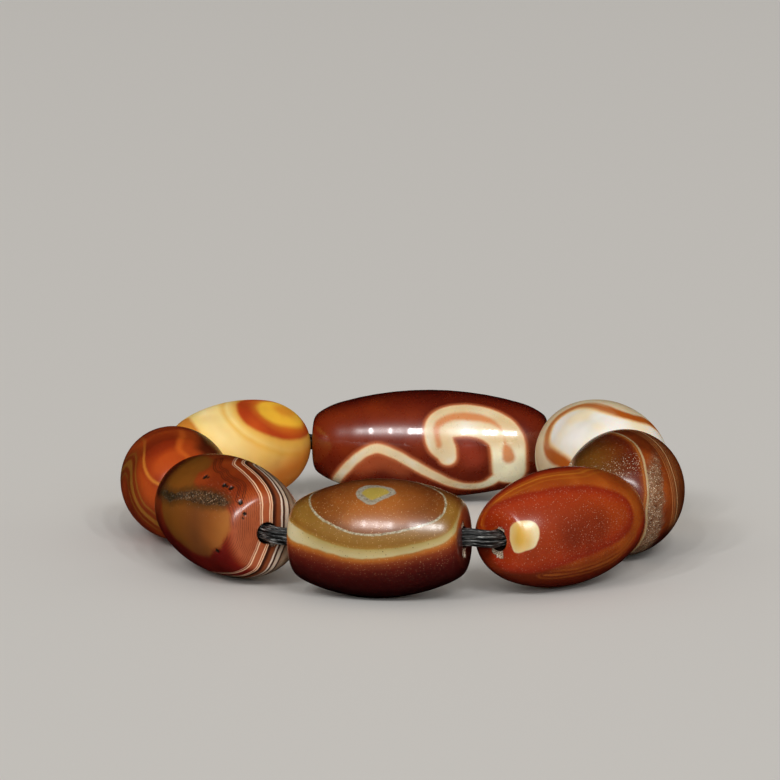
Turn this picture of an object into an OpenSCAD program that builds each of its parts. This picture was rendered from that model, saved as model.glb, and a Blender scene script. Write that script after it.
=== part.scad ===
// Bracelet of eight drilled agate beads on one black elastic thread, lying on a table.
// The loop lies in the XY plane, on Z = 0, with the front bead towards -Y.

/* [Bead lengths] */
// Length of the front bead, along its bore
front_len = 21.2; // [20.8:0.1:21.4]
// Length of the front right bead
front_right_len = 23.2; // [22.6:0.1:23.4]
// Length of the right bead
right_len = 24.6; // [24:0.1:24.8]
// Length of the back right bead
back_right_len = 22.8; // [22.2:0.1:23]
// Length of the long back bead
long_back_len = 32.2; // [31.6:0.1:32.3]
// Length of the back left bead
back_left_len = 21.5; // [20.9:0.1:21.6]
// Length of the left bead
left_len = 27.3; // [26.7:0.1:27.5]
// Length of the front left bead
front_left_len = 23.5; // [23:0.1:23.7]

/* [Bead diameters] */
// Widest diameter of the front bead
front_d = 14.4; // [14:0.1:14.6]
// Widest diameter of the front right bead
front_right_d = 14.5; // [14:0.1:14.7]
// Widest diameter of the right bead
right_d = 15.6; // [15:0.1:15.8]
// Widest diameter of the back right bead
back_right_d = 16; // [15.4:0.1:16.2]
// Widest diameter of the long back bead
long_back_d = 14.8; // [14.3:0.1:14.9]
// Widest diameter of the back left bead
back_left_d = 14.1; // [13.6:0.1:14.2]
// Widest diameter of the left bead
left_d = 14.3; // [13.8:0.1:14.5]
// Widest diameter of the front left bead
front_left_d = 14.5; // [14:0.1:14.7]

/* [Bead ends, bore and thread] */
// Radius of the rounding round each bead's flat ends
edge_r = 1.2; // [0.8:0.1:1.4]
// Diameter of the bore drilled through each bead
bore_d = 2.6; // [2.4:0.1:3]
// Width of the worn bevel round each bore's mouth
bore_bevel = 0.3; // [0.1:0.1:0.5]
// Diameter of the bundle of elastic strands
thread_d = 2.2; // [1.6:0.1:2.2]

/* [Hidden] */
$fa = 2;
$fs = 0.25;

// Columns of the bead table. turn is the compass direction of the bore, counted from +X, and tip is how far
// its leading end is raised. lift is the height of the bead's lowest point above the table.
X = 0;
Y = 1;
TURN = 2;
TIP = 3;
LIFT = 4;
LENGTH = 5;
DIAMETER = 6;
END_D = 7;
BELLY_R = 8;
SHOULDER_R = 9;

// One row for each bead, in their order along the thread, which runs anticlockwise seen from above
BEADS = [
    //  x,     y,    turn,  tip, lift, length,          diameter,      end_d, belly_r, shoulder_r
    [-2.3, -35.3,   -15,    3,  0,    front_len,       front_d,       8.6,   22,      11],
    [19.8, -28.6,    47,    1,  0.2,  front_right_len, front_right_d, 7.6,   24,      10.5],
    [28.8,  -4.9,    83, -1.5,  0,    right_len,       right_d,       6.4,   40,      8],
    [27.3,  20,   109.5,    0,  0,    back_right_len,  back_right_d,  7.2,   22.5,    10.6],
    [ 4.5,  35.4, 174.5, -0.5,  0.5,  long_back_len,   long_back_d,   7.4,   45,      10.2],
    [-22,   30.2, 223.5, -3.5,  0.3,  back_left_len,   back_left_d,   6.6,   25.5,    9],
    [-29,    6.1, 277.5,    3,  0,    left_len,        left_d,        6.4,   60,      8.8],
    [-21.2, -20.5, 296.5,  -2,  0.2,  front_left_len,  front_left_d,  9,     33,      11],
];

// Steps along half of a bead's belly arc, along each shoulder arc and round each end's edge
belly_steps = 5;
shoulder_steps = 8;
edge_steps = 4;

// Sides of the thread, and its steps across each gap between two beads
thread_sides = 10;
gap_steps = 5;
// How far the thread keeps straight past the mouth it leaves, as a share of the gap
gap_pull = 0.4;

function along(bead) =
    [cos(bead[TIP]) * cos(bead[TURN]), cos(bead[TIP]) * sin(bead[TURN]), sin(bead[TIP])];

// A tipped barrel touches down beside its middle, so its middle is a little higher than its radius
function middle_height(bead) =
    bead[LIFT] + bead[DIAMETER] / 2 + (bead[BELLY_R] - bead[DIAMETER] / 2) * (1 - cos(bead[TIP]));

function middle(bead) = [bead[X], bead[Y], middle_height(bead)];

// Point on a bead's axis, from -1 at the end where the thread comes in to 1 where it leaves
function axis_point(bead, share) = middle(bead) + along(bead) * share * bead[LENGTH] / 2;

// Points along an arc, without its first one
function arc(centre, r, from, to, steps) =
    [for (k = [1 : steps])
        let (a = from + (to - from) * k / steps)
            centre + r * [cos(a), sin(a)]];

// The outer half of a barrel's outline, from its middle to its flat end: a belly arc, a shoulder arc that is
// tangent to it, and a small arc that rounds the edge of the flat end
function upper_outline(bead) =
    let (
        half = bead[LENGTH] / 2,
        belly_r = bead[BELLY_R],
        shoulder_r = bead[SHOULDER_R],
        belly_x = bead[DIAMETER] / 2 - belly_r,
        corner = [bead[END_D] / 2, half],
        // The two centres and the corner of the flat end make a triangle, which gives the angle of the join
        step = belly_r - shoulder_r,
        reach = norm(corner - [belly_x, 0]),
        join_angle = atan2(half, corner[0] - belly_x)
            - acos((step * step + reach * reach - shoulder_r * shoulder_r) / (2 * step * reach)),
        shoulder = [belly_x + step * cos(join_angle), step * sin(join_angle)],
        // The small arc touches the shoulder arc from inside and the flat end from below
        rise = half - edge_r - shoulder[1],
        edge_angle = asin(rise / (shoulder_r - edge_r)),
        edge = shoulder + (shoulder_r - edge_r) * [cos(edge_angle), sin(edge_angle)]
    )
    concat(
        arc([belly_x, 0], belly_r, 0, join_angle, belly_steps),
        arc(shoulder, shoulder_r, join_angle, edge_angle, shoulder_steps),
        arc(edge, edge_r, edge_angle, 90, edge_steps)
    );

// Half of a drilled bead's section, right of its axis, with the bevelled mouths of the bore
module section(bead) {
    half = bead[LENGTH] / 2;
    bore_r = bore_d / 2;
    upper = upper_outline(bead);
    last = len(upper) - 1;
    polygon([
        [bore_r, half - bore_bevel],
        [bore_r, bore_bevel - half],
        [bore_r + bore_bevel, -half],
        for (k = [last : -1 : 0]) [upper[k][0], -upper[k][1]],
        [bead[DIAMETER] / 2, 0],
        each upper,
        [bore_r + bore_bevel, half],
    ]);
}

module drilled_bead(bead) {
    translate(middle(bead))
        rotate([0, 90 - bead[TIP], bead[TURN]])
            rotate_extrude() section(bead);
}

module front_bead() {
    color([0.42, 0.2, 0.07]) drilled_bead(BEADS[0]);
}

module front_right_bead() {
    color([0.62, 0.17, 0.04]) drilled_bead(BEADS[1]);
}

module right_bead() {
    color([0.4, 0.24, 0.12]) drilled_bead(BEADS[2]);
}

module back_right_bead() {
    color([0.86, 0.78, 0.7]) drilled_bead(BEADS[3]);
}

module long_back_bead() {
    color([0.36, 0.1, 0.05]) drilled_bead(BEADS[4]);
}

module back_left_bead() {
    color([0.85, 0.6, 0.28]) drilled_bead(BEADS[5]);
}

module left_bead() {
    color([0.6, 0.22, 0.08]) drilled_bead(BEADS[6]);
}

module front_left_bead() {
    color([0.45, 0.25, 0.14]) drilled_bead(BEADS[7]);
}

// The smooth run of the thread from one bead's mouth to the next one's, at a share t of the way
function gap_point(from, to, t) =
    let (
        a = axis_point(from, 1),
        d = axis_point(to, -1),
        pull = gap_pull * norm(d - a),
        b = a + along(from) * pull,
        c = d - along(to) * pull
    )
    pow(1 - t, 3) * a + 3 * pow(1 - t, 2) * t * b + 3 * (1 - t) * t * t * c + pow(t, 3) * d;

// The thread's middle line: straight through every bore, from mouth to mouth, then across the gap
bead_count = len(BEADS);
thread_line = [
    for (i = [0 : bead_count - 1])
        let (bead = BEADS[i], next = BEADS[(i + 1) % bead_count])
            each [axis_point(bead, -0.5), axis_point(bead, 0.5),
                  for (k = [0 : gap_steps]) gap_point(bead, next, k / gap_steps)]
];

// A ring of points round the middle line, square to it
function ring(line, i) =
    let (
        n = len(line),
        ahead = line[(i + 1) % n] - line[(i + n - 1) % n],
        forward = ahead / norm(ahead),
        side = cross(forward, [0, 0, 1]) / norm(cross(forward, [0, 0, 1])),
        up = cross(side, forward)
    )
    [for (k = [0 : thread_sides - 1])
        let (a = 360 * k / thread_sides)
            line[i] + thread_d / 2 * (cos(a) * side + sin(a) * up)];

module thread() {
    rings = len(thread_line);
    points = [for (i = [0 : rings - 1]) each ring(thread_line, i)];
    faces = [
        for (i = [0 : rings - 1], k = [0 : thread_sides - 1])
            let (
                next_ring = (i + 1) % rings,
                next_side = (k + 1) % thread_sides
            )
            [i * thread_sides + k, next_ring * thread_sides + k,
             next_ring * thread_sides + next_side, i * thread_sides + next_side]
    ];
    color([0.05, 0.05, 0.06]) polyhedron(points, faces);
}

front_bead();
front_right_bead();
right_bead();
back_right_bead();
long_back_bead();
back_left_bead();
left_bead();
front_left_bead();
thread();
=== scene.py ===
"""Looks of a bracelet of eight drilled agate beads on a black elastic cord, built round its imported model.

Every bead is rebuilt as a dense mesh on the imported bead's own axis and outline. A place on a bead is given
as (s, phi): s is the distance in mm along the outline from the bead's middle, positive towards the end where
the cord leaves it anticlockwise, and phi is the angle round the bore in degrees, 0 on top and
90 on the outer side.
"""
import math
import bpy
import numpy as np
from mathutils import Euler, Matrix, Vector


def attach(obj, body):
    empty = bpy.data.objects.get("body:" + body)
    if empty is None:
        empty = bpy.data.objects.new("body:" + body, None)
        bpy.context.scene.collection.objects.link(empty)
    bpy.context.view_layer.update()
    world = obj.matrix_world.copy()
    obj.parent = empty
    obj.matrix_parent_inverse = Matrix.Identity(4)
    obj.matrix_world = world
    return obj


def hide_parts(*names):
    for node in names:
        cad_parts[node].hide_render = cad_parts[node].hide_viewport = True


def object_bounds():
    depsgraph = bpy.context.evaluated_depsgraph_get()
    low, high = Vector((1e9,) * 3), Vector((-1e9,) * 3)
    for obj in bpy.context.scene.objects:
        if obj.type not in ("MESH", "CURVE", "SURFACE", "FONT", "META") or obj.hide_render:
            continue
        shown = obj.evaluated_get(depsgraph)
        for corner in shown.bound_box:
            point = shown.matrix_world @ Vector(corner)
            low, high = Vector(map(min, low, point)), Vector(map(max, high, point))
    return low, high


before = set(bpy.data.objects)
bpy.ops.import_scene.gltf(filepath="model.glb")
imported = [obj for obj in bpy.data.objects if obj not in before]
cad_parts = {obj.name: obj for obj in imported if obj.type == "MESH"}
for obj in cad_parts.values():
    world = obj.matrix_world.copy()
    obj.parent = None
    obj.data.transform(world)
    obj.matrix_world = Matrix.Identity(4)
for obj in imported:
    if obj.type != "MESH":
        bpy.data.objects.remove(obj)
cad_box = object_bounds()

MM = 0.001
BODY = "root"

# Spacing of a bead's rings along its outline in mm, its sides, and its rings inside the bore
ROW_STEP = 0.18
AROUND = 250
BORE_ROWS = 8
# Steps between two knots of a drawn curve, between two corners of a bead's outline, and along a whole outline
KNOT_STEPS = 8
CORNER_STEPS = 14
OUTLINE_STEPS = 1600
# Packed corners this near to an end belong to it, rings of them lie at least this far apart, and the ones of
# a bead's outside lie this much further out than its bore, in mm
END_REACH = 0.01
RING_GAP = 0.03
BORE_MARGIN = 0.05
# How far a bore's mouth opens, how far in it gets straight, how far the edges of the flat ends are softened,
# the hollows worn in the polished surface, and the chips at the mouths, in mm
MOUTH_EDGE = 0.08
MOUTH_DEPTH = 0.12
EDGE_WEAR = 0.4
WEAR_DEPTH = 0.02
WEAR_CELL = 5.0
CHIP_DEPTH = 0.22
CHIP_CELL = 0.35
# The noise repeats after this many cells, and its cells are counted from far outside the part
NOISE_TABLE = 32
NOISE_SHIFT = 100.0

# The bundle of elastic strands: an outer ring and an inner core, in mm
CORD_D = 2.15
OUTER_STRANDS = 11
INNER_STRANDS = 3
INNER_REACH = 0.31
STRAND_D = (0.38, 0.54)
STRAND_SIDES = 8
CORD_SEED = 7
# How unevenly the outer strands are spaced, as a share of their spacing, how each one sways round the cord,
# in radians and in waves to the loop, how far the bundle twists, in radians, and how the noise of its fibres
# is stretched and spread
STRAND_SHIFT = 0.15
STRAND_SWAY = (0.02, 0.07)
STRAND_WAVES = (9, 14, 23)
CORD_TWIST = 0.35
FIBRE_STRETCH = 0.12
FIBRE_SPREAD = 3
# The cord's shape: the places along a bore that it passes, as shares of half its length, its steps across a
# gap, and how far it runs straight out of a mouth, as a share of the gap
BORE_SPOTS = (-0.7, -0.35, 0, 0.35, 0.7)
GAP_STEPS = 9
GAP_PULL = 0.4
# The cord lies this high in the bores' mouths, in mm: at every mouth it leaves, and at every mouth it enters
CORD_RISE_OUT = 0.05
CORD_RISE_IN = 0.22


# Small tools for curves, noise and meshes

def smooth_curve(knots, closed):
    """Points on a Catmull-Rom curve through the knots; a knot may have more than two columns."""
    knots = np.array(knots, float)
    n = len(knots)
    t = np.linspace(0, 1, KNOT_STEPS, endpoint=False)[:, None]
    parts = []
    for i in range(n if closed else n - 1):
        a, b, c, d = (knots[k % n if closed else min(max(k, 0), n - 1)] for k in range(i - 1, i + 3))
        parts.append(0.5 * (2 * b + (c - a) * t + (2 * a - 5 * b + 4 * c - d) * t**2
                            + (3 * b - a - 3 * c + d) * t**3))
    parts.append(knots[:1] if closed else knots[-1:])
    return np.concatenate(parts)


def outline_curve(points):
    """A smooth curve through the points of a bead's outline that keeps its flats flat."""
    h = np.linalg.norm(np.diff(points, axis=0), axis=1)
    slope = np.diff(points, axis=0) / h[:, None]
    before, after = slope[:-1], slope[1:]
    w1, w2 = (2 * h[1:] + h[:-1])[:, None], (h[1:] + 2 * h[:-1])[:, None]
    bends = before * after > 1e-9
    safe_before, safe_after = np.where(bends, before, 1), np.where(bends, after, 1)
    tangent = np.zeros(points.shape)
    tangent[0], tangent[-1] = slope[0], slope[-1]
    tangent[1:-1] = np.where(bends, (w1 + w2) / (w1 / safe_before + w2 / safe_after), 0)
    t = np.linspace(0, 1, CORNER_STEPS, endpoint=False)[:, None]
    parts = []
    for i in range(len(h)):
        parts.append((2 * t**3 - 3 * t**2 + 1) * points[i] + (t**3 - 2 * t**2 + t) * h[i] * tangent[i]
                     + (3 * t**2 - 2 * t**3) * points[i + 1] + (t**3 - t**2) * h[i] * tangent[i + 1])
    parts.append(points[-1:])
    return np.concatenate(parts)


def walked(line):
    """The length walked along a line of points, at each point."""
    return np.concatenate([[0], np.cumsum(np.linalg.norm(np.diff(line, axis=0), axis=1))])


def value_noise(points, cell, seed):
    """Smooth noise from -1 to 1 on points in mm, with hollows and lumps about a cell apart."""
    table = np.random.default_rng(seed).uniform(-1, 1, (NOISE_TABLE,) * 3)
    p = points / cell + NOISE_SHIFT
    i = np.floor(p).astype(int)
    f = p - i
    f = f * f * (3 - 2 * f)
    total = np.zeros(len(points))
    for corner in np.ndindex(2, 2, 2):
        weight = np.abs(1 - np.array(corner) - f).prod(1)
        total += weight * table[tuple((i + corner).T % NOISE_TABLE)]
    return total


def ramp01(x, low, high):
    """0 at low, 1 at high, smooth between; low may be above high."""
    t = np.clip((x - low) / (high - low), 0, 1)
    return t * t * (3 - 2 * t)


def ring_faces(rings, sides):
    """Faces between rings of points, with the last ring joined to the first."""
    here = np.arange(rings)[:, None] * sides
    there = np.roll(here, -1)
    one = np.arange(sides)
    other = np.roll(one, -1)
    return np.stack([here + other, there + other, there + one, here + one], -1).reshape(-1, 4)


def add_object(name, data):
    item = bpy.data.objects.new(name, data)
    bpy.context.scene.collection.objects.link(item)
    return item


def smooth_object(name, points, faces, local, fields, material):
    """A mesh of points in mm, with each point's place in the material's noise and its fields."""
    mesh = bpy.data.meshes.new(name)
    mesh.from_pydata((points * MM).tolist(), [], faces.tolist())
    mesh.polygons.foreach_set("use_smooth", np.ones(len(faces), bool))
    spot = mesh.attributes.new("local", "FLOAT_VECTOR", "POINT")
    spot.data.foreach_set("vector", local.astype(np.float32).ravel())
    for key, values in fields.items():
        attribute = mesh.attributes.new(key, "FLOAT", "POINT")
        attribute.data.foreach_set("value", values.astype(np.float32))
    mesh.materials.append(material)
    mesh.update()
    return add_object(name, mesh)


# Beads

class Bead:
    """Axis, outline and mesh grid of one packed bead, in mm."""

    def __init__(self, node):
        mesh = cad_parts[node].data
        corners = np.zeros(len(mesh.vertices) * 3, np.float32)
        mesh.vertices.foreach_get("co", corners)
        corners = np.unique(np.round(corners.reshape(-1, 3).astype(float) / MM, 4), axis=0)
        spread = corners - corners.mean(0)
        axis = np.linalg.eigh(spread.T @ spread)[1][:, 2]
        reach = spread @ axis
        lead = corners[reach > reach.max() - END_REACH].mean(0)
        tail = corners[reach < reach.min() + END_REACH].mean(0)
        self.middle = (lead + tail) / 2
        axis = (lead - tail) / np.linalg.norm(lead - tail)
        loop_middle = (np.array(cad_box[0]) + np.array(cad_box[1])) / 2 / MM
        outwards = self.middle - loop_middle
        if outwards[0] * axis[1] - outwards[1] * axis[0] < 0:
            axis = -axis
        self.axis = axis
        self.side = np.cross(axis, (0, 0, 1))
        self.side /= np.linalg.norm(self.side)
        self.up = np.cross(self.side, axis)
        self._read_outline(corners)
        self._make_grid()

    def _read_outline(self, corners):
        """The bead's outline from its trailing mouth to its leading one, and the length s along it."""
        spread = corners - self.middle
        along = spread @ self.axis
        radius = np.linalg.norm(spread - along[:, None] * self.axis, axis=1)
        half = along.max()
        flat = radius[along > half - END_REACH]
        self.bore_r = radius.min()
        self.mouth_a = half - MOUTH_DEPTH
        mouth = self.bore_r + MOUTH_EDGE
        body = (np.abs(along) < half - END_REACH) & (radius > flat.min() + BORE_MARGIN)
        spots = np.stack([along[body], radius[body]], 1)[np.argsort(along[body])]
        breaks = np.flatnonzero(np.diff(spots[:, 0]) > RING_GAP) + 1
        rings = [ring.mean(0) for ring in np.split(spots, breaks)]
        points = [(-half, mouth), (-half, flat.max()), *rings, (half, flat.max()), (half, mouth)]
        curve = outline_curve(np.array(points))
        length = walked(curve)
        # The same curve in even steps, with its edges worn a little softer
        even = np.linspace(0, length[-1], OUTLINE_STEPS + 1)
        curve = np.stack([np.interp(even, length, curve[:, k]) for k in (0, 1)], 1)
        reach = int(3 * EDGE_WEAR / even[1])
        weights = np.exp(-0.5 * (np.arange(-reach, reach + 1) * even[1] / EDGE_WEAR)**2)
        weights /= weights.sum()
        mirrored = np.pad(curve, ((reach, reach), (0, 0)), mode="reflect", reflect_type="odd")
        self.curve = np.stack([np.convolve(mirrored[:, k], weights, "valid") for k in (0, 1)], 1)
        self.reach = length[-1] / 2
        self.curve_s = even - self.reach

    def outline(self, s):
        """Distance along the axis and radius at s."""
        return np.interp(s, self.curve_s, self.curve[:, 0]), np.interp(s, self.curve_s, self.curve[:, 1])

    def turned(self, a, r, angle):
        """A step of a along the axis and r away from it."""
        return (a[..., None] * self.axis + (r * np.sin(angle))[..., None] * self.side
                + (r * np.cos(angle))[..., None] * self.up)

    def place(self, s, phi):
        """Points in the shared frame at s and phi, in mm."""
        return self.middle + self.turned(*self.outline(s), np.radians(phi))

    def _make_grid(self):
        """Rings of points from the trailing end to the leading one, and back through the bore."""
        rows = int(2 * self.reach / ROW_STEP)
        s = np.linspace(-self.reach, self.reach, rows)
        a, r = self.outline(s)
        bore = np.ones(BORE_ROWS)
        back = np.linspace(1, -1, BORE_ROWS)

        def grid(outside, inside):
            return np.repeat(np.concatenate([outside, inside]), AROUND)

        self.rings = rows + BORE_ROWS
        self.s = grid(s, self.reach * back)
        self.phi = np.tile(np.arange(AROUND) * 360 / AROUND - 180, self.rings)
        self.in_bore = grid(0 * s, bore) > 0
        angle = np.radians(self.phi)
        grid_a, grid_r = grid(a, self.mouth_a * back), grid(r, self.bore_r * bore)
        self.local = np.stack([grid_a, grid_r * np.sin(angle), grid_r * np.cos(angle)], 1)
        self.points = self.middle + self.turned(grid_a, grid_r, angle)
        # Zero in the bore, so that wear and chips leave it alone
        lean_a, lean_r = grid(-np.gradient(r, s), 0 * bore), grid(np.gradient(a, s), 0 * bore)
        self.normals = self.turned(lean_a, lean_r, angle)

    def path_distance(self, knots, closed=False):
        """Distance in mm from every point to a curve of (s, phi) knots, less the knots' third column."""
        curve = smooth_curve(knots, closed)
        spots = self.place(curve[:, 0], curve[:, 1])
        halves = curve[:, 2] if curve.shape[1] > 2 else np.zeros(len(curve))
        best = np.full(len(self.points), 1e9)
        for i in range(len(spots) - 1):
            step = spots[i + 1] - spots[i]
            t = np.clip(((self.points - spots[i]) @ step) / max(step @ step, 1e-9), 0, 1)
            gap = np.linalg.norm(self.points - spots[i] - t[:, None] * step, axis=1)
            best = np.minimum(best, gap - halves[i] - t * (halves[i + 1] - halves[i]))
        return best

    def loop_distance(self, knots):
        """Distance from a closed curve in mm, below zero inside it."""
        curve = smooth_curve(knots, True)
        inside = np.zeros(len(self.s), bool)
        for turn in (-360, 0, 360):
            phi = self.phi + turn
            crossed = np.zeros(len(self.s), bool)
            for (s0, p0), (s1, p1) in zip(curve[:-1], curve[1:]):
                if p0 != p1:
                    between = (p0 > phi) != (p1 > phi)
                    crossed ^= between & (self.s < s0 + (phi - p0) * (s1 - s0) / (p1 - p0))
            inside |= crossed
        return self.path_distance(knots, True) * np.where(inside, -1, 1)

    def ring_distance(self, knots):
        """Distance from a curve round the bead, of (phi, s) knots, above zero towards its leading end."""
        turns = [(p + turn, s) for turn in (-360, 0, 360) for p, s in sorted(knots)]
        curve = smooth_curve(turns, False)
        ahead = self.s - np.interp(self.phi, curve[:, 0], curve[:, 1])
        # One turn and a little more; every fourth point of it is enough
        own = curve[np.abs(curve[:, 0]) <= 200][::4]
        return self.path_distance([(s, p) for p, s in own]) * np.sign(ahead)

    def line_distance(self, knots):
        """Distance from a curve along the bead, of (s, phi) knots, above zero towards higher phi."""
        curve = smooth_curve(knots, False)
        order = np.argsort(curve[:, 0])
        above = self.phi - np.interp(self.s, curve[order, 0], curve[order, 1])
        return self.path_distance(knots) * np.sign(above)

    def low_side(self, start, full, fade=240, end=300):
        """1 on the bead's low side: it rises from start to full degrees and falls from fade to end."""
        phi = self.phi % 360
        return ramp01(phi, start, full) * ramp01(phi, end, fade)

    def sink(self, depth):
        """Moves the outer surface inwards by a depth in mm at each point."""
        self.points = self.points - self.normals * depth[:, None]


def grit(bead, fine, coarse, share, seed):
    """Broken ground from -1 to 1, of fine lumps and a share of coarse ones, for open crystals."""
    lumps = value_noise(bead.local, fine, seed) + share * value_noise(bead.local, coarse, seed + 1)
    return np.clip(lumps, -1, 1)


def chipped_mouths(bead, chips, seed):
    """How broken each point is by flakes off the mouths; a chip is end, phi, width, reach and strength."""
    from_mouth = bead.reach - np.abs(bead.s)
    crumble = 0.5 + 0.5 * value_noise(bead.local, CHIP_CELL, seed)
    broken = np.zeros(len(bead.s))
    for end, phi, wide, reach, strength in chips:
        turn = np.abs((bead.phi - phi + 180) % 360 - 180)
        edge = reach * (0.75 + 0.5 * crumble) * ramp01(turn, wide, wide * 0.5)
        flake = ramp01(from_mouth, edge + 0.02, edge * 0.55) * (np.sign(bead.s) == end) * (turn < wide)
        broken = np.maximum(broken, strength * flake)
    broken[bead.in_bore] = 0
    return broken


# Shader nodes

class Shader:
    """Short calls for shader nodes: numbers, colours, sockets or fields' names go in, a socket comes out."""

    def __init__(self, name):
        self.material = bpy.data.materials.new(name)
        self.material.use_nodes = True
        self.tree = self.material.node_tree
        self.tree.nodes.clear()
        self.place = self.attribute("local", "Vector")

    def node(self, kind, inputs, **settings):
        """A new node with its settings and its inputs made."""
        made = self.tree.nodes.new("ShaderNode" + kind)
        for key, value in settings.items():
            setattr(made, key, value)
        for key, value in inputs.items():
            self.plug(made.inputs[key], value)
        return made

    def plug(self, socket, value):
        if isinstance(value, str):
            value = self.attribute(value)
        if isinstance(value, bpy.types.NodeSocket):
            self.tree.links.new(value, socket)
        elif socket.type == "RGBA":
            socket.default_value = (*value, 1)
        else:
            socket.default_value = value

    def attribute(self, name, output="Fac"):
        return self.node("Attribute", {}, attribute_name=name).outputs[output]

    def math(self, operation, a, b=0.0, clamp=False):
        return self.node("Math", {0: a, 1: b}, operation=operation, use_clamp=clamp).outputs[0]

    def noise(self, scale, detail=2.0, rough=0.5):
        """Noise from 0 to 1; scale is in waves per mm."""
        inputs = {"Vector": self.place, "Scale": scale, "Detail": detail, "Roughness": rough}
        return self.node("TexNoise", inputs).outputs["Fac"]

    def warp(self, field, amount, scale, detail=3.0):
        """The field, in mm, pushed to and fro by up to about half the amount."""
        push = self.both(self.math("SUBTRACT", self.noise(scale, detail), 0.5), amount)
        return self.math("ADD", field, push)

    def step(self, x, low, high):
        """0 below low, 1 above high; with low above high it falls instead."""
        low, high, start, end = (low, high, 0.0, 1.0) if low < high else (high, low, 1.0, 0.0)
        inputs = {"Value": x, "From Min": low, "From Max": high, "To Min": start, "To Max": end}
        return self.node("MapRange", inputs, interpolation_type="SMOOTHSTEP").outputs["Result"]

    def line(self, field, centre, half, soft):
        """1 on the line of the field's centre value, half wide on each side, with soft edges."""
        away = self.math("ABSOLUTE", self.math("SUBTRACT", field, centre))
        return self.step(away, half + soft / 2, max(half - soft / 2, 0.0))

    def both(self, a, b):
        return self.math("MULTIPLY", a, b)

    def ramp(self, x, stops, low=0.0, high=1.0):
        """Colour along x from low to high; stops are (x, colour)."""
        scaled = self.node("MapRange", {"Value": x, "From Min": low, "From Max": high})
        made = self.node("ValToRGB", {"Fac": scaled.outputs["Result"]})
        elements = made.color_ramp.elements
        while len(elements) < len(stops):
            elements.new(0.5)
        for element, (spot, colour) in zip(elements, stops):
            element.position = (spot - low) / (high - low)
            element.color = (*colour, 1)
        return made.outputs["Color"]

    def tones(self, x, spread, *colours):
        """Colours in even steps along a noise, from 0.5 less the spread to 0.5 and the spread."""
        return self.ramp(x, list(zip(np.linspace(0.5 - spread, 0.5 + spread, len(colours)), colours)))

    def over(self, base, mask, top, share=None):
        """The top colour, or a share of it, laid over the base where the mask is 1."""
        if share is not None:
            mask = self.both(mask, share)
        return self.node("Mix", {"Factor": mask, 6: base, 7: top}, data_type="RGBA").outputs[2]

    def layers(self, base, layers):
        """Colours laid over the base in turn; a layer is a mask, a colour and, where it has one, a share."""
        for layer in layers:
            base = self.over(base, *layer)
        return base

    def shade(self, base, factor):
        """The base colour times a grey factor."""
        grey = self.node("CombineColor", {"Red": factor, "Green": factor, "Blue": factor}).outputs["Color"]
        inputs = {"Factor": 1.0, 6: base, 7: grey}
        return self.node("Mix", inputs, data_type="RGBA", blend_type="MULTIPLY").outputs[2]

    def cells(self, scale):
        """Cells 1/scale mm apart: the distance from a cell's middle, and three chances of each cell."""
        made = self.node("TexVoronoi", {"Vector": self.place, "Scale": scale})
        chances = self.node("SeparateColor", {"Color": made.outputs["Color"]})
        return (made.outputs["Distance"], *chances.outputs)

    def specks(self, scale, size, share):
        """Small spots, in a share of cells that are 1/scale mm apart, with a radius of size mm."""
        away, chance, strength, _ = self.cells(scale)
        near = self.step(away, size * scale * 1.3, size * scale * 0.6)
        kept = self.step(chance, 1 - share - 0.01, 1 - share + 0.01)
        return self.both(near, self.both(kept, self.math("ADD", strength, 0.15, clamp=True)))

    def bump(self, height, distance, normal=None):
        inputs = {"Height": height, "Distance": distance * MM, "Strength": 1.0}
        if normal is not None:
            inputs["Normal"] = normal
        return self.node("Bump", inputs).outputs["Normal"]

    def finish(self, colour, roughness, normal, glow=0.15, coat=0.0, coat_rough=0.1, gloss=0.35):
        """Polished stone: a satin sheen under a clear polish, over a body that light enters a little way."""
        inputs = {"Base Color": colour, "Roughness": roughness, "Normal": normal, "IOR": STONE_IOR,
                  "Specular IOR Level": gloss, "Coat Weight": coat, "Coat Roughness": coat_rough,
                  "Coat IOR": STONE_IOR, "Subsurface Weight": glow, "Subsurface Radius": GLOW_COLOURS,
                  "Subsurface Scale": GLOW_DEPTH * MM}
        stone = self.node("BsdfPrincipled", inputs, subsurface_method="RANDOM_WALK")
        self.node("OutputMaterial", {"Surface": stone.outputs["BSDF"]})
        return self.material


# Colours that several stones share, as linear red, green and blue
CHIP_TAN = (0.5, 0.36, 0.24)
PIT_BLACK = (0.012, 0.008, 0.005)
# Painted shade for the walls inside the bores
BORE_SHADE = (0.018, 0.007, 0.003)
SPECK = (0.7, 0.45, 0.32)
# The stones' refraction, how deep light enters them in mm, and how far each colour goes of that depth
STONE_IOR = 1.54
GLOW_DEPTH = 0.8
GLOW_COLOURS = (1.0, 0.45, 0.25)
# Cells of dust per mm, and the size of its grains in mm
DUST_CELLS = 4.2
DUST_SIZE = 0.055


def polish(shader, colour, rough, grain=0.006, normal=None, **sheen):
    """The finish that all the stones share: chipped mouths, faint clouds and a fine grain in the gloss."""
    broken = shader.step(shader.warp("chip", 0.25, 3.0), 0.2, 0.42)
    crumbs = shader.noise(5.0, 4.0, 0.65)
    chip_colour = shader.tones(crumbs, 0.14, (0.1, 0.035, 0.018), CHIP_TAN, (0.85, 0.72, 0.58))
    colour = shader.over(colour, broken, chip_colour)
    colour = shader.shade(colour, shader.step(shader.noise(0.2), -1.0, 0.8))
    # Painted shade: the walls inside the bore are painted dark
    colour = shader.over(colour, "bore", BORE_SHADE)
    clouds = shader.math("ADD", rough - 0.03, shader.both(shader.noise(1.2, 3.0), 0.06))
    roughness = shader.math("ADD", clouds, shader.both(broken, 0.25))
    normal = shader.bump(shader.noise(6.0, 2.0, 0.6), grain, normal)
    normal = shader.bump(shader.both(crumbs, broken), 0.25, normal)
    return shader.finish(colour, roughness, normal, **sheen)


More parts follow.
